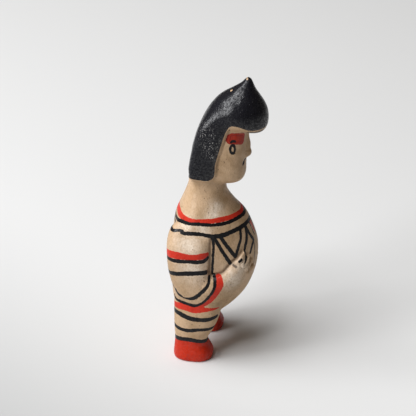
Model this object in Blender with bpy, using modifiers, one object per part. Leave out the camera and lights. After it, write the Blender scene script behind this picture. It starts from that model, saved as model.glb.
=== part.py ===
"""Hand-built clay doll: one solid standing figure with a heavy cap of hair and its hands on its belly.

The figure stands on two flat soles, faces -Y, and its right side is at -X. Every measure of the body is a
share of its height, in percent, because a modelled figure keeps its proportions at any size.
"""
import math

import bmesh
import bpy
import numpy as np
from mathutils import Matrix, Vector

HEIGHT = 0.120  # metres, from the soles to the tip of the hair
PERCENT = HEIGHT / 100

DOLL_NAME = "clay_doll"
CLAY_COLOUR = (0.60, 0.46, 0.33, 1.0)
CLAY_ROUGHNESS = 0.7

CLAY_GRAIN = 0.36 * PERCENT  # size of the cubes in which the lumps of clay are merged
SMOOTHING_STROKES = 4
TRIANGLES = 9600
LOFT_SIDES = 48
LIMB_SIDES = 24
BEAD_SIDES = 24
STEPS_PER_SPAN = 5

# The rows of a body part run upwards: height, front, back, half width.
TORSO_WIDEST_AT = 1.0
TORSO = [
    (13.5, -2.4, 8.0, 7.5),
    (16.0, -5.8, 10.0, 10.6),
    (19.0, -10.0, 11.0, 12.2),
    (24.0, -14.0, 11.5, 12.9),
    (31.0, -16.6, 11.6, 12.8),
    (37.6, -17.4, 11.5, 12.5),
    (43.0, -16.8, 11.2, 12.0),
    (50.3, -13.8, 10.2, 11.0),
    (54.0, -10.2, 8.8, 9.7),
    (58.3, -7.1, 7.0, 7.6),
    (62.0, -6.5, 5.8, 6.2),
    (68.0, -6.2, 5.2, 5.6),
]

LEG_FROM_MIDDLE = 9.4
LEG_SQUARENESS = 2.4
LEG = [
    (-1.0, -3.4, 8.8, 4.8),
    (1.0, -4.0, 9.3, 5.3),
    (2.8, -4.1, 9.2, 5.2),
    (7.1, -2.2, 8.8, 4.5),
    (12.0, -4.6, 9.0, 5.1),
    (18.0, -6.6, 9.0, 5.6),
    (24.0, -7.0, 9.0, 4.6),
]

HEAD_WIDEST_AT = -5.0
HEAD_SQUARENESS = 2.5
HEAD = [
    (63.3, -10.0, 2.0, 3.2),
    (64.2, -11.8, 4.0, 4.8),
    (66.2, -12.9, 5.0, 5.9),
    (70.5, -13.0, 5.0, 6.5),
    (77.0, -13.2, 4.0, 6.6),
    (88.0, -13.6, 0.0, 6.3),
]

HAIR_CAP = [
    (82.0, -18.2, -13.4, 2.6),
    (83.1, -19.3, -10.5, 5.2),
    (85.0, -20.0, -3.0, 7.8),
    (87.8, -20.0, -0.2, 8.6),
    (90.5, -19.2, -1.6, 7.9),
    (93.2, -17.6, -4.2, 6.2),
    (95.6, -16.1, -7.8, 3.9),
    (97.9, -15.1, -11.0, 2.1),
    (99.3, -14.6, -12.2, 1.2),
    (100.1, -13.9, -12.9, 0.4),
]

BACK_HAIR_SQUARENESS = 6.0
BACK_HAIR = [
    (64.0, -1.0, 3.8, 5.4),
    (65.3, -2.9, 4.6, 7.2),
    (67.6, -4.0, 4.9, 7.9),
    (70.0, -4.3, 4.8, 8.1),
    (74.0, -4.8, 4.1, 8.3),
    (78.0, -5.8, 3.3, 8.4),
    (82.0, -7.2, 2.4, 8.4),
    (86.0, -8.8, 0.8, 7.9),
    (89.0, -10.2, -1.5, 6.7),
    (91.5, -10.6, -4.4, 5.0),
]

# An arm's last number is how far its outer face stands from the middle plane; its core is inside the body.
ARM_CORE = 8.0
ARM_SQUARENESS = 2.6
ARM = [
    (21.0, -2.0, 6.5, 11.5),
    (23.0, -4.4, 8.2, 13.8),
    (26.0, -5.2, 9.0, 15.0),
    (30.0, -5.0, 10.2, 15.4),
    (35.0, -4.4, 11.2, 15.3),
    (42.0, -4.2, 11.5, 14.7),
    (45.5, -3.6, 11.1, 13.2),
    (48.0, -2.0, 10.2, 11.4),
    (50.0, 0.6, 8.4, 9.6),
]

# The forearm lies on the torso: height, angle from the front in degrees, half depth, lift off the torso.
FOREARM = [
    (26.5, 100, 5.2, 2.0),
    (27.0, 84, 5.3, 2.2),
    (28.2, 68, 4.8, 2.2),
    (30.4, 54, 4.4, 2.0),
    (33.2, 43, 4.1, 1.6),
    (35.4, 35.5, 3.7, 1.1),
]
FINGER_RADIUS = 1.1
FINGER_LIFT = -0.4
# Each finger runs from the palm to its tip: height and angle of both ends, in degrees from the front.
FINGERS = [
    ((36.2, 42.0), (39.2, 37.5)),
    ((35.4, 35.5), (38.2, 30.5)),
    ((34.0, 28.5), (36.6, 23.5)),
    ((32.4, 21.5), (34.6, 16.5)),
]

# The nose and the lips are beads of clay: centre, and radii in x, y and z.
NOSE = [
    ((0.0, -12.7, 80.0), (1.3, 1.3, 3.6)),
    ((0.0, -13.1, 76.4), (1.4, 1.4, 3.4)),
    ((0.0, -13.1, 73.9), (1.9, 1.8, 1.8)),
]
LIPS = ((0.0, -12.2, 69.8), (1.9, 0.9, 1.6))


def smooth_rows(rows):
    """The rows with smooth cubic spans filled in between them."""
    rows = np.array(rows, float)
    slopes = np.gradient(rows, np.arange(len(rows)), axis=0)
    filled = []
    for low, high, slope_low, slope_high in zip(rows, rows[1:], slopes, slopes[1:]):
        for t in np.arange(STEPS_PER_SPAN) / STEPS_PER_SPAN:
            filled.append(
                low * (2 * t**3 - 3 * t**2 + 1) + high * (3 * t**2 - 2 * t**3)
                + slope_low * (t**3 - 2 * t**2 + t) + slope_high * (t**3 - t**2)
            )
    filled.append(rows[-1])
    return filled


def bowed(value, squareness):
    """A sine or cosine bent so that the round section it draws becomes squarer."""
    return math.copysign(abs(value) ** (2 / squareness), value)


def section(row, centre_x, widest_at, squareness):
    """One level ring of a body part: two half ellipses that meet where the part is widest."""
    height, front, back, half_width = row
    middle = (front + back) / 2 if widest_at is None else widest_at
    ring = []
    for i in range(LOFT_SIDES):
        angle = math.tau * i / LOFT_SIDES
        reach = (back - middle) if math.sin(angle) > 0 else (middle - front)
        x = centre_x + half_width * bowed(math.cos(angle), squareness)
        y = middle + reach * bowed(math.sin(angle), squareness)
        ring.append(Vector((x, y, height)) * PERCENT)
    return ring


def skin(clay, rings):
    """Closes a run of rings into a lump of clay."""
    loops = [[clay.verts.new(point) for point in ring] for ring in rings]
    for lower, upper in zip(loops, loops[1:]):
        for i in range(len(lower)):
            j = (i + 1) % len(lower)
            clay.faces.new((lower[i], lower[j], upper[j], upper[i]))
    clay.faces.new(reversed(loops[0]))
    clay.faces.new(loops[-1])


def add_loft(clay, rows, centre_x=0.0, widest_at=None, squareness=2.0):
    skin(clay, [section(row, centre_x, widest_at, squareness) for row in smooth_rows(rows)])


def add_bead(clay, centre, radii):
    size = Matrix.Diagonal((*(Vector(radii) * PERCENT), 1.0))
    place = Matrix.Translation(Vector(centre) * PERCENT) @ size
    bmesh.ops.create_uvsphere(
        clay, u_segments=BEAD_SIDES, v_segments=BEAD_SIDES // 2, radius=1.0, matrix=place
    )


def torso_point(height, angle, side):
    """A point of the torso's face, and the way out from it; the angle runs from the front to the side."""
    rows = smooth_rows(TORSO)
    front, half_width = (
        float(np.interp(height, [row[0] for row in rows], [row[column] for row in rows]))
        for column in (1, 3)
    )
    turn = math.radians(angle)
    depth = TORSO_WIDEST_AT - front
    point = Vector((side * half_width * math.sin(turn), TORSO_WIDEST_AT - depth * math.cos(turn), height))
    outward = Vector((side * math.sin(turn) / half_width, -math.cos(turn) / depth, 0)).normalized()
    return point, outward


def add_limb(clay, route, half_depths, lifts, side, lift_share):
    """A limb lying on the torso: an oval tube along a route of heights and angles."""
    places = [torso_point(height, angle, side) for height, angle in route]
    rings = []
    for i, (point, outward) in enumerate(places):
        before, after = places[max(i - 1, 0)][0], places[min(i + 1, len(places) - 1)][0]
        along = (after - before).normalized()
        across = along.cross(outward).normalized()
        middle = point + outward * lifts[i] * lift_share
        ring = []
        for k in range(LIMB_SIDES):
            angle = math.tau * k / LIMB_SIDES
            offset = across * half_depths[i] * math.cos(angle) + outward * lifts[i] * math.sin(angle)
            ring.append((middle + offset) * PERCENT)
        rings.append(ring)
    skin(clay, rings)


def add_finger(clay, start, end, side):
    """A finger: a round rod on the belly with a ball at its tip."""
    steps = np.linspace(0, 1, STEPS_PER_SPAN)
    route = [tuple(np.array(start) * (1 - t) + np.array(end) * t) for t in steps]
    lifts = [FINGER_RADIUS] * len(route)
    add_limb(clay, route, lifts, lifts, side, FINGER_LIFT)
    tip, outward = torso_point(*end, side)
    add_bead(clay, tip + outward * FINGER_RADIUS * FINGER_LIFT, [FINGER_RADIUS] * 3)


def add_arm(clay, side):
    rows = [(height, front, back, outer - ARM_CORE) for height, front, back, outer in ARM]
    add_loft(clay, rows, centre_x=side * ARM_CORE, squareness=ARM_SQUARENESS)
    forearm = smooth_rows(FOREARM)
    route = [(height, angle) for height, angle, _, _ in forearm]
    half_depths = [half_depth for _, _, half_depth, _ in forearm]
    lifts = [lift for _, _, _, lift in forearm]
    add_limb(clay, route, half_depths, lifts, side, 0.0)
    for start, end in FINGERS:
        add_finger(clay, start, end, side)


def lumps_of_clay():
    """Every lump of the figure as a closed shell; the lumps overlap where they are pressed together."""
    clay = bmesh.new()
    add_loft(clay, TORSO, widest_at=TORSO_WIDEST_AT)
    add_loft(clay, HEAD, widest_at=HEAD_WIDEST_AT, squareness=HEAD_SQUARENESS)
    add_loft(clay, BACK_HAIR, squareness=BACK_HAIR_SQUARENESS)
    add_loft(clay, HAIR_CAP)
    for centre, radii in [*NOSE, LIPS]:
        add_bead(clay, centre, radii)
    for side in (-1, 1):
        add_loft(clay, LEG, centre_x=side * LEG_FROM_MIDDLE, squareness=LEG_SQUARENESS)
        add_arm(clay, side)
    bmesh.ops.recalc_face_normals(clay, faces=clay.faces)
    mesh = bpy.data.meshes.new(DOLL_NAME)
    clay.to_mesh(mesh)
    clay.free()
    return mesh


def collection(name):
    made = bpy.data.collections.new(name)
    bpy.context.scene.collection.children.link(made)
    return made


def bake_modifiers(thing):
    """Replaces an object's mesh by the one its modifiers give."""
    graph = bpy.context.evaluated_depsgraph_get()
    mesh = bpy.data.meshes.new_from_object(thing.evaluated_get(graph))
    thing.modifiers.clear()
    thing.data = mesh


def merge_clay(doll):
    """Presses the lumps into one skin, strokes it smooth and thins it out."""
    remesh = doll.modifiers.new("Merge", "REMESH")
    remesh.mode = "VOXEL"
    remesh.voxel_size = CLAY_GRAIN
    smooth = doll.modifiers.new("Stroke", "SMOOTH")
    smooth.iterations = SMOOTHING_STROKES
    bake_modifiers(doll)
    triangles = sum(len(face.vertices) - 2 for face in doll.data.polygons)
    thin = doll.modifiers.new("Thin", "DECIMATE")
    thin.ratio = TRIANGLES / triangles
    bake_modifiers(doll)


def cut_soles(doll, cutters):
    """Cuts both feet off level, so that the figure stands on flat soles."""
    bpy.ops.mesh.primitive_cube_add(size=HEIGHT, location=(0, 0, -HEIGHT / 2))
    cutter = bpy.context.active_object
    cutter.name = "sole_cutter"
    for owner in cutter.users_collection:
        owner.objects.unlink(cutter)
    cutters.objects.link(cutter)
    cutter.hide_render = True
    cutter.display_type = "WIRE"
    cut = doll.modifiers.new("Level soles", "BOOLEAN")
    cut.object = cutter
    cut.solver = "EXACT"
    bpy.context.view_layer.update()
    bake_modifiers(doll)


def stand_at_origin(doll):
    """Moves the mesh so that the middle of its soles' plane, below the middle of the figure, is the origin."""
    corners = [vertex.co for vertex in doll.data.vertices]
    low = Vector([min(corner[i] for corner in corners) for i in range(3)])
    high = Vector([max(corner[i] for corner in corners) for i in range(3)])
    doll.data.transform(Matrix.Translation((-(low.x + high.x) / 2, -(low.y + high.y) / 2, -low.z)))


def clay_material():
    material = bpy.data.materials.new("fired_clay")
    material.use_nodes = True
    shader = material.node_tree.nodes["Principled BSDF"]
    shader.inputs["Base Color"].default_value = CLAY_COLOUR
    shader.inputs["Roughness"].default_value = CLAY_ROUGHNESS
    shader.inputs["Metallic"].default_value = 0.0
    return material


def main():
    for thing in list(bpy.data.objects):
        bpy.data.objects.remove(thing)
    parts = collection("ceramic_doll")
    cutters = collection("cutters")
    doll = bpy.data.objects.new(DOLL_NAME, lumps_of_clay())
    parts.objects.link(doll)
    merge_clay(doll)
    cut_soles(doll, cutters)
    stand_at_origin(doll)
    doll.data.materials.clear()
    doll.data.materials.append(clay_material())
    doll.data.shade_smooth()


main()
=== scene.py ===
"""Looks of the painted clay doll: its fine clay skin, the brushed paint, and a floor, light and camera.

Lengths are in hundredths of the doll's height, and the doll looks along -Y with its right side to -X.
Paint is laid as brush strokes. A stroke's point is an angle in degrees, counted round an upright axis
from the front to the doll's right, a height, and the stroke's width there.
"""

import math

import bmesh
import bpy
import numpy as np
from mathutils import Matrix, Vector
from mathutils.bvhtree import BVHTree
from mathutils.kdtree import KDTree

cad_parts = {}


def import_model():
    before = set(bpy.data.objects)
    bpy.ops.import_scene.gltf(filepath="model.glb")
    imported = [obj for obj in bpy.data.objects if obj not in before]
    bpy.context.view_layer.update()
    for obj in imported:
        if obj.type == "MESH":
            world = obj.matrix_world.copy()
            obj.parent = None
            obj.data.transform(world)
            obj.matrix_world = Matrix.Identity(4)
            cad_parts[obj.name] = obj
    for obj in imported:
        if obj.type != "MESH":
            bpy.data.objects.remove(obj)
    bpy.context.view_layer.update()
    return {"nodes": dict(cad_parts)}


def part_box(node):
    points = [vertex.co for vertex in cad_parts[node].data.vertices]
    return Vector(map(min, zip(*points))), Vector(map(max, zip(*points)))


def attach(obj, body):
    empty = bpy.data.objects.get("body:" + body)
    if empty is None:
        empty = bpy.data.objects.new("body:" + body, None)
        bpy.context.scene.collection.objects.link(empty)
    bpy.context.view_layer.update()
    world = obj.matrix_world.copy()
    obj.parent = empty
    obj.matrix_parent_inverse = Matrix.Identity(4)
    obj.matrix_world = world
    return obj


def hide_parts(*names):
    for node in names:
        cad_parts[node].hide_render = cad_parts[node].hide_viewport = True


DOLL = "clay_doll"

# Camera, aimed at the doll's middle
CAMERA_AZIMUTH = -78.7
CAMERA_ELEVATION = 29.0
CAMERA_DISTANCE = 550.0
CAMERA_LENS = 144.9
CAMERA_SENSOR = 36.0
CAMERA_TARGET = (0.0, 3.75, 51.7)

# Fine skin
SKIN_GRAIN = 0.335
SKIN_SUBDIVISIONS = 2
SKIN_STROKES = 2
SKIN_WELD = 1e-4

# Upright axes that the strokes are counted round: x and y
BODY_AXIS = (0.0, 5.3)
LEG_AXIS = (-9.4, 6.7)
HEAD_AXIS = (0.0, -0.7)

# A stroke's curve steps between two points, the least distance between two samples, how far round it
# depths are found, and the depth beyond that
CURVE_STEPS = 40
STROKE_STEP = 0.2
STROKE_REACH = 2.5
FAR_OUTSIDE = -9.0

# Largest depth that is kept for the material
KEPT_DEPTH = 3.0

# Black strokes round the body
COLLAR_BLACK = (
    (0, 51.6, 1.1), (23, 51.7, 1.1), (37, 51.4, 1.15), (63, 51.2, 1.1), (88, 51.4, 1.1),
    (99, 51.1, 1.15), (120, 50.8, 1.2), (142, 50.2, 1.2), (160, 50.6, 1.2), (180, 51.2, 1.2),
)
SHOULDER_BAND = (
    (-8, 49.3, 1.15), (9, 49.2, 1.35), (22, 48.9, 1.5), (31, 48.6, 1.45), (40, 48.1, 1.5),
    (49, 47.6, 1.6), (58, 47.4, 1.55), (67, 47.5, 1.35), (81, 48.0, 1.25), (93, 48.1, 1.3),
    (107, 47.9, 1.3), (114, 48.0, 1.05),
)
SHOULDER_BAND_BACK = (
    (113, 48.5, 0.8), (119, 48.4, 1.0), (130, 48.0, 1.1), (150, 48.6, 1.1), (180, 49.4, 1.1),
)
CHEST_UPRIGHT = ((65, 47.3, 0.9), (63.5, 44.8, 0.9), (64, 42.2, 0.8), (65, 39.0, 0.8), (66, 33.9, 0.7))
CHEST_OUTER = ((61, 46.7, 1.15), (42, 37.4, 1.2))
CHEST_INNER = ((53, 47.3, 1.2), (36, 39.7, 1.25))
CHEST_RISING = ((36, 39.4, 1.0), (31, 42.9, 1.05), (26, 45.6, 1.0), (24, 48.4, 0.95))
CHEST_FRONT = ((15, 48.4, 1.0), (18, 45.2, 1.05), (22, 42.7, 1.0), (25.5, 40.4, 0.8), (24.5, 39.9, 0.6))
CHEST_ELBOW = ((14, 48.2, 0.85), (12, 45.3, 0.95), (9, 43.0, 1.05), (13, 41.6, 0.9), (17, 39.4, 0.85))
BREAST_LINE = ((5, 49.2, 0.5), (4, 44.3, 0.4))
ARM_BLACK = (
    (150, 38.2, 1.25), (130, 38.6, 1.3), (117, 39.0, 1.35), (106, 39.3, 1.3), (95, 39.5, 1.25),
    (84, 39.4, 1.35), (77, 39.6, 1.35), (72, 40.4, 1.25),
)
ARM_BAND = (
    (150, 33.0, 1.4), (125, 33.6, 1.4), (114, 34.3, 1.5), (105, 34.8, 1.6), (95, 35.2, 1.7),
    (86, 35.4, 1.7), (75, 35.3, 1.6),
)
ELBOW_MARK = ((121, 29.0, 0.6), (118, 28.1, 0.6))
ELBOW_INNER_BACK = ((116, 27.7, 1.1), (113, 26.3, 1.3), (107, 25.6, 1.0))
ELBOW_INNER = (
    (105, 25.2, 0.6), (98, 25.2, 1.15), (92, 25.6, 1.4), (85, 27.1, 1.35), (77, 29.5, 1.15),
    (72, 31.6, 1.0), (70.5, 33.6, 0.95),
)
ELBOW_OUTER = (
    (125, 23.8, 0.8), (118, 23.1, 0.9), (109, 23.0, 1.0), (100, 22.8, 1.15), (90, 22.5, 1.15),
    (82, 23.5, 1.0), (76, 25.1, 1.0), (70, 27.6, 1.0), (66, 30.0, 1.0), (63.5, 32.9, 1.0),
    (63.5, 34.0, 0.8),
)
HIP_BAND = (
    (150, 18.4, 1.5), (120, 18.6, 1.6), (106, 18.3, 1.7), (95, 17.6, 1.7), (82, 17.4, 1.6),
    (72, 17.5, 1.55), (60, 17.9, 1.4),
)
FINGER_SLIT = ((22.5, 39.6, 0.3), (24, 38.9, 0.95), (26, 38.0, 0.95), (28.5, 37.0, 0.5))
KNUCKLE_SPOT = ((34.5, 38.2, 0.9), (32.0, 38.6, 1.1))

# Black strokes round a leg
KNEE_BAND = (
    (-180, 12.9, 1.35), (0, 13.0, 1.35), (60, 13.2, 1.35), (90, 12.6, 1.5), (120, 12.5, 1.45),
    (180, 12.9, 1.35),
)
ANKLE_BAND = (
    (-180, 7.6, 1.5), (-90, 8.0, 1.5), (0, 7.1, 1.5), (50, 7.8, 1.5), (90, 8.6, 1.7), (130, 8.4, 1.6),
    (180, 7.6, 1.5),
)

# Grey and worn strokes round the body, and a brown stroke of painted shade in the gap between two fingers
BELLY_LINE = ((9, 42.0, 0.6), (9.5, 39.0, 0.65), (10, 36.5, 0.6), (13, 34.0, 0.4))
# Painted shade in the pressed gap between two fingers
FINGER_GAP_SHADE = ((18, 37.3, 0.3), (19.8, 36.2, 0.4), (21.5, 35.1, 0.3))
WRIST_SPOT = ((40.3, 37.1, 0.8), (38.3, 36.4, 0.9))

# Red strokes round the body
COLLAR_RED = (
    (0, 52.4, 1.3), (22, 52.6, 1.5), (46, 52.6, 1.7), (62, 52.4, 1.6), (85, 52.2, 1.6),
    (103, 52.1, 1.6), (118, 52.1, 1.8), (132, 52.3, 2.1), (146, 52.8, 2.2), (160, 53.0, 2.2),
    (180, 53.3, 2.0),
)
ARM_RED = (
    (150, 40.2, 2.3), (131, 40.5, 2.5), (119, 40.9, 2.6), (110, 41.1, 2.5), (100, 41.0, 2.0),
    (90, 41.1, 1.9), (80, 41.3, 2.1), (73, 41.4, 1.9),
)
CUFF_RED = (
    (59, 33.4, 2.3), (59, 31.0, 2.3), (62, 29.0, 2.1), (66.5, 26.5, 1.9), (73, 24.0, 1.7),
    (80, 22.8, 1.2), (86, 22.2, 0.9),
)
HIP_RED = (
    (130, 20.6, 1.4), (120, 21.0, 2.1), (104, 21.5, 2.5), (92, 21.1, 2.6), (84, 21.1, 2.2),
    (77, 21.2, 1.6), (68, 21.2, 1.0), (56, 21.0, 0.3),
)
BREAST_RED = ((0, 48.6, 1.6), (0, 46.6, 1.4), (0, 44.8, 0.6))

# Face
EYE_PATCH_CENTRE = (40.5, 80.6)
EYE_PATCH_HALF_SIZE = (2.98, 2.0)
EYE_PATCH_CORNER = 1.1
EYE_PATCH_TILT = 12.0
EYE_PATCH_REACH = 6.0
EYE_ARC = ((55.5, 79.6, 0.5), (52.5, 80.0, 0.8), (48.5, 80.0, 0.8), (45.5, 79.6, 0.5))
CHEEK_LOOP_CENTRE = (51.5, 77.1)
CHEEK_LOOP_RADII = (0.85, 1.5)
CHEEK_LOOP_WIDTH = 0.8
HEAD_RADIUS = 9.0
MOUTH = (
    (-19.5, 70.3, 0.7), (-18.5, 70.7, 1.35), (-16.5, 71.2, 1.5), (-13, 71.6, 0.8), (0, 71.8, 0.7),
    (13, 71.6, 0.8), (16.5, 71.2, 1.5), (18.5, 70.7, 1.35), (19.5, 70.3, 0.7),
)
NOSTRIL = ((15, 73.9, 0.35), (11, 73.8, 0.35))

# Edge of the painted hair, from the forehead down past the ear to the nape
HAIRLINE = (
    (0, 84.1), (14, 84.1), (25, 84.2), (31, 84.4), (36, 84.7), (42, 85.3), (48, 85.9), (54, 86.1),
    (60, 85.9), (65, 84.9), (69, 83.4), (73, 81.6), (77.5, 79.6), (82, 77.7), (86.5, 75.6),
    (91.5, 73.4), (95.5, 71.2), (96.5, 69.0), (99.5, 67.0), (105.5, 66.0), (116, 65.5), (131, 65.7),
    (180, 66.2),
)
HAIRLINE_FROM_TEMPLE = HAIRLINE[9:]

# The face's oval section: half width, half depth and squareness
FACE_OVAL = (7.0, 8.9, 2.5)
FACE_TOP = 87.0

# Where the hair's walls are washed dark brown, as worn black paint and as painted shade beside the face:
# under the fringe to an angle, and on its side between two angles; how far they start above the hair's
# lower edge, and the value kept off them
FRINGE_BOTTOM = 81.4
FRINGE_END = 35
HAIR_SIDE = (60, 100)
WALL_START = 1.0
OFF_WALL = -1.0

# Bare clay where the hair is chipped: x, y, z and radius
CHIPS = ((-0.8, -8.9, 99.7, 0.16), (0.0, -8.7, 100.0, 0.1), (-1.5, -4.1, 95.5, 0.3))

# Where dust sits in the hair's grain and pale flecks are painted sparkle: angle, height and radius
DUST_AND_SPARKLE = ((103, 79.0, 3.3), (99, 75.8, 2.4), (112, 83.5, 3.2))

# How sharply a soft spot fades
SPOT_FADE = 1.5

# Where the hair and the hand are stroked smooth: angle, height and radius; how many times, and the
# weight below which the skin stays as it is
SMOOTHED_HAIR = ((75, 88.0, 6.5), (110, 87.0, 6.5), (145, 87.0, 6.5), (180, 88.0, 6.0))
SMOOTHED_HAND = ((24, 36.5, 4.6),)
SMOOTHING = 110
LEAST_WEIGHT = 0.01

# Fingers laid on the hand: base and tip, each an angle and a height
FINGERS = (
    ((33.0, 38.2), (26.8, 40.2)),
    ((28.5, 36.7), (21.8, 38.5)),
    ((25.0, 34.8), (17.8, 36.3)),
    ((22.5, 32.7), (15.5, 33.9)),
)
FINGER_RADIUS = 1.1
FINGER_LIFT = 0.65
FAR_FINGER_LIFT = 0.6

# Lines along which the clay is raised or pressed in
HAIR_CREASE = (
    (62, 83.6), (65, 81.9), (70, 79.8), (75.5, 77.7), (80, 75.5), (86.5, 73.3), (90.5, 71.0),
    (93, 68.8), (95, 67.0),
)
ARM_EDGE = ((66, 47.0), (68, 44.5), (69, 41.0), (69.5, 37.4), (69.5, 34.5))
FOREARM_EDGE = (
    (66, 33.7), (57, 34.0), (51, 34.8), (45, 36.5), (41, 37.7), (35, 39.0), (31, 40.3), (28, 41.1),
)
ELBOW_CORNER = ((71, 36.0), (69.5, 34.4), (67, 33.8))
FOREARM_SWELL = ((70, 29.5), (60, 30.3), (50, 32.0), (42, 34.0), (34, 35.8), (29, 36.6))
MOUTH_CORNER = ((13, 71.5), (16.5, 71.1), (19, 70.4))
UPPER_FINGER_GAP = ((22.0, 39.7), (25.0, 38.4), (28.5, 36.9))
MIDDLE_FINGER_GAP = ((17.5, 37.6), (20.5, 36.1), (23.5, 34.5))
LOWER_FINGER_GAP = ((15.5, 35.3), (18.5, 34.1), (21.0, 32.8))

# How much: axis, line, height (negative where the clay is pressed in) and width
RELIEFS = (
    (BODY_AXIS, FOREARM_SWELL, 0.55, 2.4),
    (HEAD_AXIS, HAIRLINE_FROM_TEMPLE, 0.22, 0.5),
    (HEAD_AXIS, HAIR_CREASE, -0.4, 0.32),
    (HEAD_AXIS, MOUTH_CORNER, -0.3, 0.5),
    (BODY_AXIS, ARM_EDGE, -0.4, 0.5),
    (BODY_AXIS, ELBOW_CORNER, -0.45, 0.5),
    (BODY_AXIS, FOREARM_EDGE, -0.6, 0.5),
    (BODY_AXIS, UPPER_FINGER_GAP, -0.65, 0.5),
    (BODY_AXIS, MIDDLE_FINGER_GAP, -0.65, 0.5),
    (BODY_AXIS, LOWER_FINGER_GAP, -0.5, 0.5),
)

# Where the clay is rubbed pale, and where paler clay is a painted highlight on the arm, hand and
# shoulders: angle, height and radius
RUBBED_AND_HIGHLIGHT = (
    (98, 44.5, 5.2), (92, 36.8, 6.0), (44, 33.0, 4.8), (34, 36.0, 3.4), (52, 56.0, 3.0),
    (108, 50.3, 3.4), (58, 54.0, 3.5), (80, 49.6, 3.6),
)

# Creases along which shade is painted dark brown, and how far the painted shade spreads from them
SHADED_CREASES = (ARM_EDGE, FOREARM_EDGE)
CREASE_SHADE_SPREAD = 0.75

# Noise scales of the material, for one metre
RAGGED_EDGE = 1100.0
WAVERING_EDGE = 300.0
CLAY_MOTTLE = 110.0
CLAY_SPECKS = 1000.0
CLAY_GRAIN = 1500.0
CLAY_DENTS = 450.0
RUBBED_AND_HIGHLIGHT_PATCHES = 350.0
PAINT_STREAKS = 240.0
DUST_AND_SPARKLE_GRAIN = 2100.0
WORN_GLOSS = 1300.0

# Waves of the brush's rings round the eye, and the height of the bumps in metres
BRUSH_RINGS = 9.0
BUMP_HEIGHT = 0.0004

# Paint and clay colours, linear
BUFF = (0.545, 0.374, 0.232, 1.0)
BUFF_DARK = (0.40, 0.262, 0.145, 1.0)
# Pale rubbed clay, which is also the colour of the painted highlight
BUFF_RUBBED_AND_HIGHLIGHT = (0.80, 0.69, 0.57, 1.0)
# Dark brown of the painted shade in the creases
CREASE_SHADE_COLOUR = (0.12, 0.07, 0.04, 1.0)
SPECK = (0.10, 0.06, 0.035, 1.0)
RED = (0.53, 0.030, 0.014, 1.0)
RED_DARK = (0.26, 0.010, 0.008, 1.0)
RED_FOOT = (0.47, 0.020, 0.003, 1.0)
RED_PATCH = (0.39, 0.028, 0.010, 1.0)
BLACK = (0.006, 0.006, 0.007, 1.0)
# Grey wash of thin paint, also used as painted shade in a finger gap and on the hair's walls
WASH_AND_SHADE = (0.035, 0.028, 0.026, 1.0)
HAIR_BLACK = (0.005, 0.005, 0.008, 1.0)
# Pale grey of the flecks of dust and painted sparkle
DUST_AND_SPARKLE_GREY = (0.56, 0.54, 0.52, 1.0)
FLOOR_FAR = (0.73, 0.73, 0.72, 1.0)
# Darker floor colour of the painted shade near the camera
FLOOR_NEAR = (0.38, 0.385, 0.38, 1.0)
FILL_COLOUR = (1.0, 0.88, 0.76, 1.0)
LIGHT_COLOUR = (0.97, 0.98, 1.0)

# Lights: name, azimuth, elevation, size and power, all at one distance; and the even light all round
LIGHTS = (
    ("key", -138.0, 27.0, 650.0, 13.5),
    ("back", -165.0, 50.0, 650.0, 12.0),
    ("top", -180.0, 75.0, 650.0, 9.0),
    ("glint", -108.0, 58.0, 250.0, 3.0),
)
LIGHT_DISTANCE = 1200.0
FILL_STRENGTH = 0.09

# The floor's side, and its painted shade: how much it leans to the doll's back, and where it begins and
# ends
FLOOR_SIDE = 3000
FLOOR_SHADE_LEAN = 0.6
FLOOR_SHADE = (-30, 170)


def smooth_stroke(points):
    """The stroke's points joined by a Catmull-Rom curve, as rows of angle, height and width."""
    rows = np.array(points, float)
    rows = np.vstack([2 * rows[0] - rows[1], rows, 2 * rows[-1] - rows[-2]])
    steps = np.linspace(0.0, 1.0, CURVE_STEPS, endpoint=False)[:, None]
    spans = []
    for before, start, end, after in zip(rows, rows[1:], rows[2:], rows[3:]):
        spans.append(
            0.5
            * (
                2 * start
                + (end - before) * steps
                + (2 * before - 5 * start + 4 * end - after) * steps**2
                + (3 * start - before - 3 * end + after) * steps**3
            )
        )
    return np.vstack([*spans, rows[-2:-1]])


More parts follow.
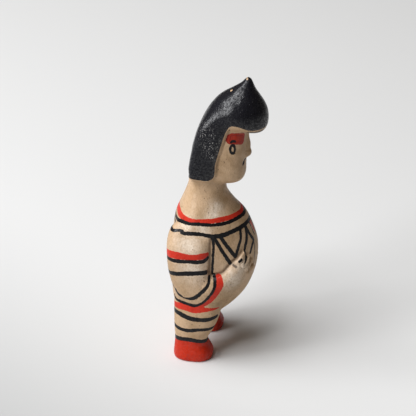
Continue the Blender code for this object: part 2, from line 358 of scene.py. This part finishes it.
class Skin:
    """The doll's fine surface in percent of its height, for laying strokes on."""

    def __init__(self, mesh, percent):
        self.mesh = mesh
        self.percent = percent
        self.refresh()

    def refresh(self):
        """Reads the vertices again after they have moved."""
        count = len(self.mesh.vertices)
        self.points = np.empty(count * 3)
        self.mesh.vertices.foreach_get("co", self.points)
        self.points = self.points.reshape(-1, 3) / self.percent
        self.normals = np.array([v.normal for v in self.mesh.vertices])
        self.mirrored = self.points.copy()
        self.mirrored[:, 0] = -np.abs(self.mirrored[:, 0])
        polygons = [tuple(p.vertices) for p in self.mesh.polygons]
        self.tree = BVHTree.FromPolygons([Vector(p) for p in self.points], polygons)

    def store(self):
        """Writes the moved vertices back to the mesh."""
        self.mesh.vertices.foreach_set("co", (self.points * self.percent).ravel())
        self.mesh.update()
        self.refresh()

    def move(self, offsets):
        """Moves every vertex along its normal by offsets."""
        self.points += self.normals * offsets[:, None]
        self.store()

    def turns(self, axis):
        """Every vertex's angle round an axis, counted from the front on either side."""
        x = np.abs(self.points[:, 0]) + axis[0]
        y = axis[1] - self.points[:, 1]
        return np.degrees(np.arctan2(x, y))

    def place(self, angle, height, axis=BODY_AXIS):
        """The surface point that is seen from the axis at an angle and height."""
        turn = math.radians(angle)
        outwards = Vector((-math.sin(turn), -math.cos(turn), 0.0))
        return self.tree.ray_cast(Vector((*axis, height)), outwards)[0]

    def distance_from(self, angle, height, axis=BODY_AXIS):
        """Every vertex's distance from a surface point."""
        return np.linalg.norm(self.mirrored - np.array(self.place(angle, height, axis)), axis=1)

    def distance_along(self, line, axis=BODY_AXIS):
        """Every vertex's distance from a line laid on the surface, as far as a stroke's reach."""
        return -self.depth_in([self.lay([(angle, height, 0.0) for angle, height in line], axis)])

    def stroke(self, weights, strokes):
        """Strokes the surface smooth, fully where the weight is 1."""
        edges = np.empty(len(self.mesh.edges) * 2, int)
        self.mesh.edges.foreach_get("vertices", edges)
        ends = np.concatenate([edges.reshape(-1, 2), edges.reshape(-1, 2)[:, ::-1]])
        active = np.flatnonzero(weights > LEAST_WEIGHT)
        ends = ends[weights[ends[:, 0]] > LEAST_WEIGHT]
        place = np.zeros(len(weights), int)
        place[active] = np.arange(len(active))
        rows = place[ends[:, 0]]
        count = np.bincount(rows, minlength=len(active))[:, None]
        share = weights[active, None]
        for _ in range(strokes):
            near = self.points[ends[:, 1]]
            mean = np.stack([np.bincount(rows, near[:, i], len(active)) for i in range(3)], 1) / count
            self.points[active] += share * (mean - self.points[active])
        self.store()

    def lay(self, points, axis=BODY_AXIS):
        """The stroke's samples on the surface and their half widths."""
        samples = []
        halves = []
        for angle, height, width in smooth_stroke(points):
            hit = self.place(angle, height, axis)
            if hit is None:
                continue
            if samples and (samples[-1] - hit).length < STROKE_STEP:
                continue
            samples.append(hit)
            halves.append(width / 2)
        return samples, halves

    def depth_in(self, strokes):
        """How deep every vertex lies inside the strokes, negative outside them."""
        depth = np.full(len(self.points), FAR_OUTSIDE)
        for samples, halves in strokes:
            tree = KDTree(len(samples))
            for index, sample in enumerate(samples):
                tree.insert(sample, index)
            tree.balance()
            low = np.array(samples).min(0) - STROKE_REACH
            high = np.array(samples).max(0) + STROKE_REACH
            for vertex in np.flatnonzero(np.all((self.mirrored > low) & (self.mirrored < high), axis=1)):
                _, index, distance = tree.find(self.mirrored[vertex])
                depth[vertex] = max(depth[vertex], halves[index] - distance)
        return depth


def fine_skin(node, percent):
    """A copy of the frame's solid, subdivided and remeshed into an even fine skin."""
    piece = node.copy()
    piece.data = node.data.copy()
    piece.name = "painted_doll"
    piece.parent = None
    for key in list(piece.keys()):
        del piece[key]
    bpy.context.scene.collection.objects.link(piece)
    mesh = bmesh.new()
    mesh.from_mesh(piece.data)
    bmesh.ops.remove_doubles(mesh, verts=mesh.verts, dist=percent * SKIN_WELD)
    mesh.to_mesh(piece.data)
    mesh.free()
    subdivision = piece.modifiers.new("round", "SUBSURF")
    subdivision.levels = subdivision.render_levels = SKIN_SUBDIVISIONS
    remesh = piece.modifiers.new("skin", "REMESH")
    remesh.mode = "VOXEL"
    remesh.voxel_size = SKIN_GRAIN * percent
    smooth = piece.modifiers.new("soften", "SMOOTH")
    smooth.factor = 0.5
    smooth.iterations = SKIN_STROKES
    evaluated = piece.evaluated_get(bpy.context.evaluated_depsgraph_get())
    mesh = bpy.data.meshes.new_from_object(evaluated)
    piece.modifiers.clear()
    piece.data = mesh
    piece.data.materials.clear()
    piece.data.shade_smooth()
    return piece


def soft_spot(distance, radius):
    """1 at the middle of a spot, falling to 0 beyond its radius."""
    return np.exp(-((distance / radius) ** 2) * SPOT_FADE)


def soft_spots(skin, spots, axis=BODY_AXIS):
    """The strongest of several soft spots at every vertex."""
    share = np.zeros(len(skin.points))
    for angle, height, radius in spots:
        share = np.maximum(share, soft_spot(skin.distance_from(angle, height, axis), radius))
    return share


def model_details(skin):
    """Strokes hair and hands smooth, lays the fingers on, and raises or presses the clay along lines."""
    weights = np.maximum(soft_spots(skin, SMOOTHED_HAIR, HEAD_AXIS), soft_spots(skin, SMOOTHED_HAND))
    skin.stroke(weights, SMOOTHING)
    lift = np.zeros(len(skin.points))
    for finger in FINGERS:
        reach = skin.distance_along(finger) / FINGER_RADIUS
        lift = np.maximum(lift, FINGER_LIFT * np.sqrt(np.clip(1.0 - reach**2, 0.0, 1.0)))
    lift[skin.points[:, 0] > 0] *= FAR_FINGER_LIFT
    skin.move(lift)
    relief = np.zeros(len(skin.points))
    for axis, line, height, width in RELIEFS:
        relief += height * np.exp(-((skin.distance_along(line, axis) / width) ** 2))
    skin.move(relief)


def hair_depth(skin):
    """Every vertex's depth inside the painted hair, and its distance from the edge on bare walls."""
    angles, heights = np.array(HAIRLINE, float).T
    turns = skin.turns(HEAD_AXIS)
    level = skin.points[:, 2]
    above = level > np.interp(turns, angles, heights)
    side, back = HAIR_SIDE
    half_width, half_depth, squareness = FACE_OVAL
    x = np.abs(skin.points[:, 0]) / half_width
    y = np.abs(skin.points[:, 1] - HEAD_AXIS[1]) / half_depth
    off_face = x**squareness + y**squareness > 1.0
    wall = off_face & ~above & np.where(turns < FRINGE_END, level > FRINGE_BOTTOM, turns > side)
    wall &= (level > heights.min() + WALL_START) & (turns < back)
    distance = skin.distance_along(HAIRLINE, HEAD_AXIS)
    depth = np.where(above & (off_face | (turns > side) | (level > FACE_TOP)), distance, -distance)
    for *place, radius in CHIPS:
        chip = np.array(skin.tree.find_nearest(Vector(place))[0])
        depth = np.minimum(depth, np.linalg.norm(skin.points - chip, axis=1) - radius)
    return depth, np.where(wall, distance, OFF_WALL)


def patch_depth(skin):
    """How deep every vertex lies inside the patch round the eye, a rectangle with round corners."""
    centre = skin.place(*EYE_PATCH_CENTRE, HEAD_AXIS)
    turn = math.radians(EYE_PATCH_CENTRE[0])
    along = np.array([math.cos(turn), -math.sin(turn), 0.0])
    up = np.array([0.0, 0.0, 1.0])
    tilt = math.radians(EYE_PATCH_TILT)
    across = skin.mirrored - np.array(centre)
    u = across @ (along * math.cos(tilt) - up * math.sin(tilt))
    v = across @ (along * math.sin(tilt) + up * math.cos(tilt))
    far = np.abs(across @ np.cross(along, up)) > EYE_PATCH_REACH
    outside = np.stack([np.abs(u), np.abs(v)], 1) - np.array(EYE_PATCH_HALF_SIZE) + EYE_PATCH_CORNER
    depth = EYE_PATCH_CORNER - np.linalg.norm(np.maximum(outside, 0.0), axis=1)
    return np.where(far, FAR_OUTSIDE, depth)


def foot_depth(skin):
    """How far every vertex lies below the ankle band, where the foot is painted red."""
    angles, heights, _ = np.array(ANKLE_BAND).T
    return np.interp(skin.turns(LEG_AXIS), angles, heights) - skin.points[:, 2]


def cheek_loop():
    """The small loop painted under the eye, as a stroke."""
    angle, height = CHEEK_LOOP_CENTRE
    across, up = CHEEK_LOOP_RADII
    degrees = math.degrees(across / HEAD_RADIUS)
    turns = [math.radians(30 * step) for step in range(13)]
    return [(angle + degrees * math.cos(t), height + up * math.sin(t), CHEEK_LOOP_WIDTH) for t in turns]


def keep(piece, name, values):
    """Stores one value a vertex for the material."""
    attribute = piece.data.attributes.new(name, "FLOAT", "POINT")
    attribute.data.foreach_set("value", np.clip(values, -KEPT_DEPTH, KEPT_DEPTH).astype(np.float32))


def paint(piece, skin):
    """Stores how deep every vertex lies in each kind of paint and painted shade, and how much it has of
    pale worn clay and painted highlight, of painted shade in the creases, and of dusty flecks and painted
    sparkle.
    """
    body_black = (
        COLLAR_BLACK, SHOULDER_BAND, SHOULDER_BAND_BACK, CHEST_UPRIGHT, CHEST_OUTER, CHEST_INNER,
        CHEST_RISING, CHEST_FRONT, CHEST_ELBOW, BREAST_LINE, ARM_BLACK, ARM_BAND, ELBOW_MARK,
        ELBOW_INNER_BACK, ELBOW_INNER, ELBOW_OUTER, HIP_BAND, FINGER_SLIT, KNUCKLE_SPOT,
    )
    black = [skin.lay(stroke) for stroke in body_black]
    black += [skin.lay(stroke, LEG_AXIS) for stroke in (KNEE_BAND, ANKLE_BAND)]
    black += [skin.lay(stroke, HEAD_AXIS) for stroke in (EYE_ARC, cheek_loop(), MOUTH)]
    # Grey wash, with the painted shade in a finger gap
    wash_and_shade = [skin.lay(stroke) for stroke in (BELLY_LINE, FINGER_GAP_SHADE, WRIST_SPOT)]
    wash_and_shade += [skin.lay(NOSTRIL, HEAD_AXIS)]
    red = [skin.lay(stroke) for stroke in (COLLAR_RED, ARM_RED, CUFF_RED, HIP_RED, BREAST_RED)]
    # Painted shade along the creases by the arm and above the forearm
    crease_shade = [soft_spot(skin.distance_along(line), CREASE_SHADE_SPREAD) for line in SHADED_CREASES]
    foot = foot_depth(skin)
    patch = patch_depth(skin)
    hair, wall = hair_depth(skin)
    # Pale rubbed clay and painted highlight
    keep(piece, "rubbed_and_highlight", soft_spots(skin, RUBBED_AND_HIGHLIGHT))
    keep(piece, "crease_shade", np.maximum(*crease_shade))
    keep(piece, "black", skin.depth_in(black))
    keep(piece, "wash_and_shade", skin.depth_in(wash_and_shade))
    keep(piece, "red", np.maximum(np.maximum(skin.depth_in(red), foot), patch))
    keep(piece, "patch", patch)
    keep(piece, "foot", foot)
    keep(piece, "hair", hair)
    keep(piece, "wall", wall)
    keep(piece, "dust_and_sparkle", soft_spots(skin, DUST_AND_SPARKLE, HEAD_AXIS))


class Shader:
    """Short ways to add nodes to a material."""

    def __init__(self, name):
        self.material = bpy.data.materials.new(name)
        self.material.use_nodes = True
        self.tree = self.material.node_tree
        self.surface = self.tree.nodes["Principled BSDF"]

    def node(self, kind, inputs=None, **settings):
        node = self.tree.nodes.new(kind)
        for key, value in settings.items():
            setattr(node, key, value)
        for key, value in (inputs or {}).items():
            if isinstance(value, bpy.types.NodeSocket):
                self.tree.links.new(value, node.inputs[key])
            else:
                node.inputs[key].default_value = value
        return node

    def attribute(self, name):
        return self.node("ShaderNodeAttribute", attribute_name=name).outputs["Fac"]

    def noise(self, scale, detail=3.0, roughness=0.5):
        place = self.node("ShaderNodeTexCoord").outputs["Object"]
        inputs = {"Vector": place, "Scale": scale, "Detail": detail, "Roughness": roughness}
        return self.node("ShaderNodeTexNoise", inputs).outputs["Fac"]

    def math(self, operation, first, second):
        return self.node("ShaderNodeMath", {0: first, 1: second}, operation=operation).outputs[0]

    def ramp(self, value, low, high, to_low=0.0, to_high=1.0):
        inputs = {"Value": value, "From Min": low, "From Max": high, "To Min": to_low, "To Max": to_high}
        return self.node("ShaderNodeMapRange", inputs, interpolation_type="SMOOTHSTEP").outputs[0]

    def mix(self, share, first, second):
        node = self.node("ShaderNodeMix", data_type="RGBA")
        for index, value in ((0, share), (6, first), (7, second)):
            if isinstance(value, bpy.types.NodeSocket):
                self.tree.links.new(value, node.inputs[index])
            else:
                node.inputs[index].default_value = value
        return node.outputs[2]


def uneven_edge(s):
    """What makes the edges of all paint ragged and wavering."""
    ragged = s.math("MULTIPLY", s.math("SUBTRACT", s.noise(RAGGED_EDGE), 0.5), 0.42)
    wobble = s.math("MULTIPLY", s.math("SUBTRACT", s.noise(WAVERING_EDGE), 0.5), 0.30)
    return s.math("ADD", ragged, wobble)


def clay_colour(s, grain):
    """Mottled buff clay, worn pale in places and paler where a highlight is painted, with dark specks and
    painted shade in the creases.
    """
    mottle = s.ramp(s.noise(CLAY_MOTTLE, 5.0, 0.65), 0.40, 0.66)
    clay = s.mix(mottle, BUFF, BUFF_DARK)
    # Pale rubbed clay and painted highlight, in patches
    patchy = s.ramp(s.noise(RUBBED_AND_HIGHLIGHT_PATCHES, 4.0, 0.7), 0.30, 0.65, 0.45, 0.9)
    clay = s.mix(s.math("MULTIPLY", s.attribute("rubbed_and_highlight"), patchy), clay, BUFF_RUBBED_AND_HIGHLIGHT)
    clay = s.mix(s.ramp(grain, 0.48, 0.70, 0.0, 0.5), clay, BUFF_DARK)
    clay = s.mix(s.ramp(s.noise(CLAY_SPECKS, 1.0), 0.72, 0.76, 0.0, 0.8), clay, SPECK)
    # Painted shade: the clay darkens along the creases
    return s.mix(s.math("MULTIPLY", s.attribute("crease_shade"), 0.75), clay, CREASE_SHADE_COLOUR)


def red_colour(s):
    """Red paint with darker streaks, and with the brush's rings in the patch round the eye."""
    ripple = s.math("SINE", s.math("MULTIPLY", s.attribute("patch"), BRUSH_RINGS), 0.0)
    rings = s.math("MULTIPLY", s.ramp(ripple, 0.2, 1.0), s.ramp(s.attribute("patch"), 0.0, 0.1))
    streaks = s.math("MAXIMUM", rings, s.ramp(s.noise(PAINT_STREAKS, 4.0, 0.6), 0.50, 0.80, 0.0, 0.6))
    red = s.mix(s.ramp(s.attribute("foot"), 0.0, 0.3), RED, RED_FOOT)
    red = s.mix(s.ramp(s.attribute("patch"), -0.2, 0.0), red, RED_PATCH)
    return s.mix(streaks, red, RED_DARK)


def dust_and_sparkle_flecks(s, hair):
    """Pale flecks in the hair, partly dusty and partly painted sparkle: many at the listed spots and few
    elsewhere.
    """
    grain = s.noise(DUST_AND_SPARKLE_GRAIN, 2.0, 0.6)
    flecks = s.math("MULTIPLY", s.ramp(grain, 0.59, 0.67), s.attribute("dust_and_sparkle"))
    strays = s.ramp(grain, 0.65, 0.75, 0.0, 0.16)
    return s.math("MULTIPLY", s.math("MAXIMUM", flecks, strays), hair)


def painted_clay():
    """Buff clay with brushed red and black paint and half glossy black hair."""
    s = Shader("painted clay")
    edge = uneven_edge(s)
    black = s.ramp(s.math("ADD", s.attribute("black"), edge), -0.10, 0.03)
    red = s.ramp(s.math("ADD", s.attribute("red"), edge), -0.08, 0.08)
    wash_and_shade = s.ramp(s.math("ADD", s.attribute("wash_and_shade"), edge), -0.10, 0.20, 0.0, 0.75)
    hair = s.ramp(s.math("ADD", s.attribute("hair"), s.math("MULTIPLY", edge, 0.5)), 0.10, 0.24)
    wall = s.ramp(s.math("ADD", s.attribute("wall"), edge), 0.28, 0.60, 0.0, 0.8)
    grain = s.noise(CLAY_GRAIN, 2.0, 0.6)
    colour = s.mix(red, clay_colour(s, grain), red_colour(s))
    # Grey wash, and painted shade in a finger gap
    colour = s.mix(wash_and_shade, colour, WASH_AND_SHADE)
    colour = s.mix(black, colour, BLACK)
    # Dark brown on the hair's walls: worn black paint and painted shade
    colour = s.mix(wall, colour, WASH_AND_SHADE)
    colour = s.mix(hair, colour, HAIR_BLACK)
    # Pale flecks of dust and painted sparkle in the hair
    colour = s.mix(dust_and_sparkle_flecks(s, hair), colour, DUST_AND_SPARKLE_GREY)
    s.tree.links.new(colour, s.surface.inputs["Base Color"])
    wet_foot = s.ramp(s.attribute("foot"), -0.1, 0.3, 0.0, 0.6)
    brushed = s.math("MULTIPLY", s.math("MAXIMUM", red, black), 0.15)
    worn = s.ramp(s.noise(WORN_GLOSS, 4.0, 0.75), 0.40, 0.60, 0.2, 1.0)
    glossy = s.math("MAXIMUM", s.math("MAXIMUM", hair, wet_foot), s.math("MAXIMUM", brushed, 0.45))
    s.tree.links.new(s.math("MULTIPLY", glossy, worn), s.surface.inputs["Coat Weight"])
    s.surface.inputs["Coat Roughness"].default_value = 0.22
    s.surface.inputs["Roughness"].default_value = 0.6
    s.surface.inputs["Specular IOR Level"].default_value = 0.08
    height = s.math("ADD", s.math("MULTIPLY", grain, 0.6), s.noise(CLAY_DENTS, 3.0))
    for socket, strength in (("Normal", 0.7), ("Coat Normal", 0.25)):
        bump = s.node("ShaderNodeBump", {"Strength": strength, "Distance": BUMP_HEIGHT, "Height": height})
        s.tree.links.new(bump.outputs[0], s.surface.inputs[socket])
    return s.material


def add_floor(percent):
    """A wide pale floor with painted shade, darker towards the camera and the doll's back, which isn't
    part of the doll.
    """
    bpy.ops.mesh.primitive_plane_add(size=FLOOR_SIDE * percent)
    floor = bpy.context.object
    floor.name = "floor"
    s = Shader("pale floor")
    place = s.node("ShaderNodeTexCoord").outputs["Object"]
    across = s.node("ShaderNodeSeparateXYZ", {"Vector": place}).outputs
    along = s.math("SUBTRACT", s.math("MULTIPLY", across["Y"], FLOOR_SHADE_LEAN), across["X"])
    near = s.ramp(along, *(limit * percent for limit in FLOOR_SHADE))
    # Painted shade: the floor darkens towards the camera and the doll's back
    s.tree.links.new(s.mix(near, FLOOR_FAR, FLOOR_NEAR), s.surface.inputs["Base Color"])
    s.surface.inputs["Roughness"].default_value = 0.8
    floor.data.materials.append(s.material)


def seen_from(azimuth, elevation):
    """The direction to a viewer, by azimuth and elevation in degrees; azimuth 0 looks along +Y."""
    a = math.radians(azimuth)
    e = math.radians(elevation)
    return Vector((math.sin(a) * math.cos(e), -math.cos(a) * math.cos(e), math.sin(e)))


def add_camera(percent):
    """The photograph's camera."""
    data = bpy.data.cameras.new("camera")
    data.lens = CAMERA_LENS
    data.sensor_width = CAMERA_SENSOR
    camera = bpy.data.objects.new("camera", data)
    bpy.context.scene.collection.objects.link(camera)
    towards = seen_from(CAMERA_AZIMUTH, CAMERA_ELEVATION)
    camera.location = (Vector(CAMERA_TARGET) + towards * CAMERA_DISTANCE) * percent
    camera.rotation_euler = (-towards).to_track_quat("-Z", "Y").to_euler()
    bpy.context.scene.camera = camera


def add_light(name, azimuth, elevation, size, power, percent):
    """A square soft light aimed at the doll."""
    data = bpy.data.lights.new(name, "AREA")
    data.size = size * percent
    data.energy = power
    data.color = LIGHT_COLOUR
    light = bpy.data.objects.new(name, data)
    bpy.context.scene.collection.objects.link(light)
    towards = seen_from(azimuth, elevation)
    light.location = (Vector(CAMERA_TARGET) + towards * LIGHT_DISTANCE) * percent
    light.rotation_euler = (-towards).to_track_quat("-Z", "Y").to_euler()


def add_world():
    """Even soft light from all round, and a pale backdrop beyond the floor."""
    world = bpy.data.worlds.new("studio")
    world.use_nodes = True
    nodes = world.node_tree.nodes
    links = world.node_tree.links
    fill = nodes["Background"]
    fill.inputs["Color"].default_value = FILL_COLOUR
    fill.inputs["Strength"].default_value = FILL_STRENGTH
    backdrop = nodes.new("ShaderNodeBackground")
    backdrop.inputs["Color"].default_value = FLOOR_FAR
    seen = nodes.new("ShaderNodeLightPath").outputs["Is Camera Ray"]
    both = nodes.new("ShaderNodeMixShader")
    links.new(seen, both.inputs[0])
    links.new(fill.outputs[0], both.inputs[1])
    links.new(backdrop.outputs[0], both.inputs[2])
    links.new(both.outputs[0], nodes["World Output"].inputs["Surface"])
    bpy.context.scene.world = world


def main():
    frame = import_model()
    node = frame["nodes"][DOLL]
    low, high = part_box(DOLL)
    percent = (high.z - low.z) / 100
    piece = fine_skin(node, percent)
    skin = Skin(piece.data, percent)
    model_details(skin)
    paint(piece, skin)
    piece.data.materials.append(painted_clay())
    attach(piece, "root")
    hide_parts(DOLL)
    add_floor(percent)
    add_camera(percent)
    for light in LIGHTS:
        add_light(*light, percent)
    add_world()
    bpy.context.scene.view_settings.view_transform = "Standard"


main()
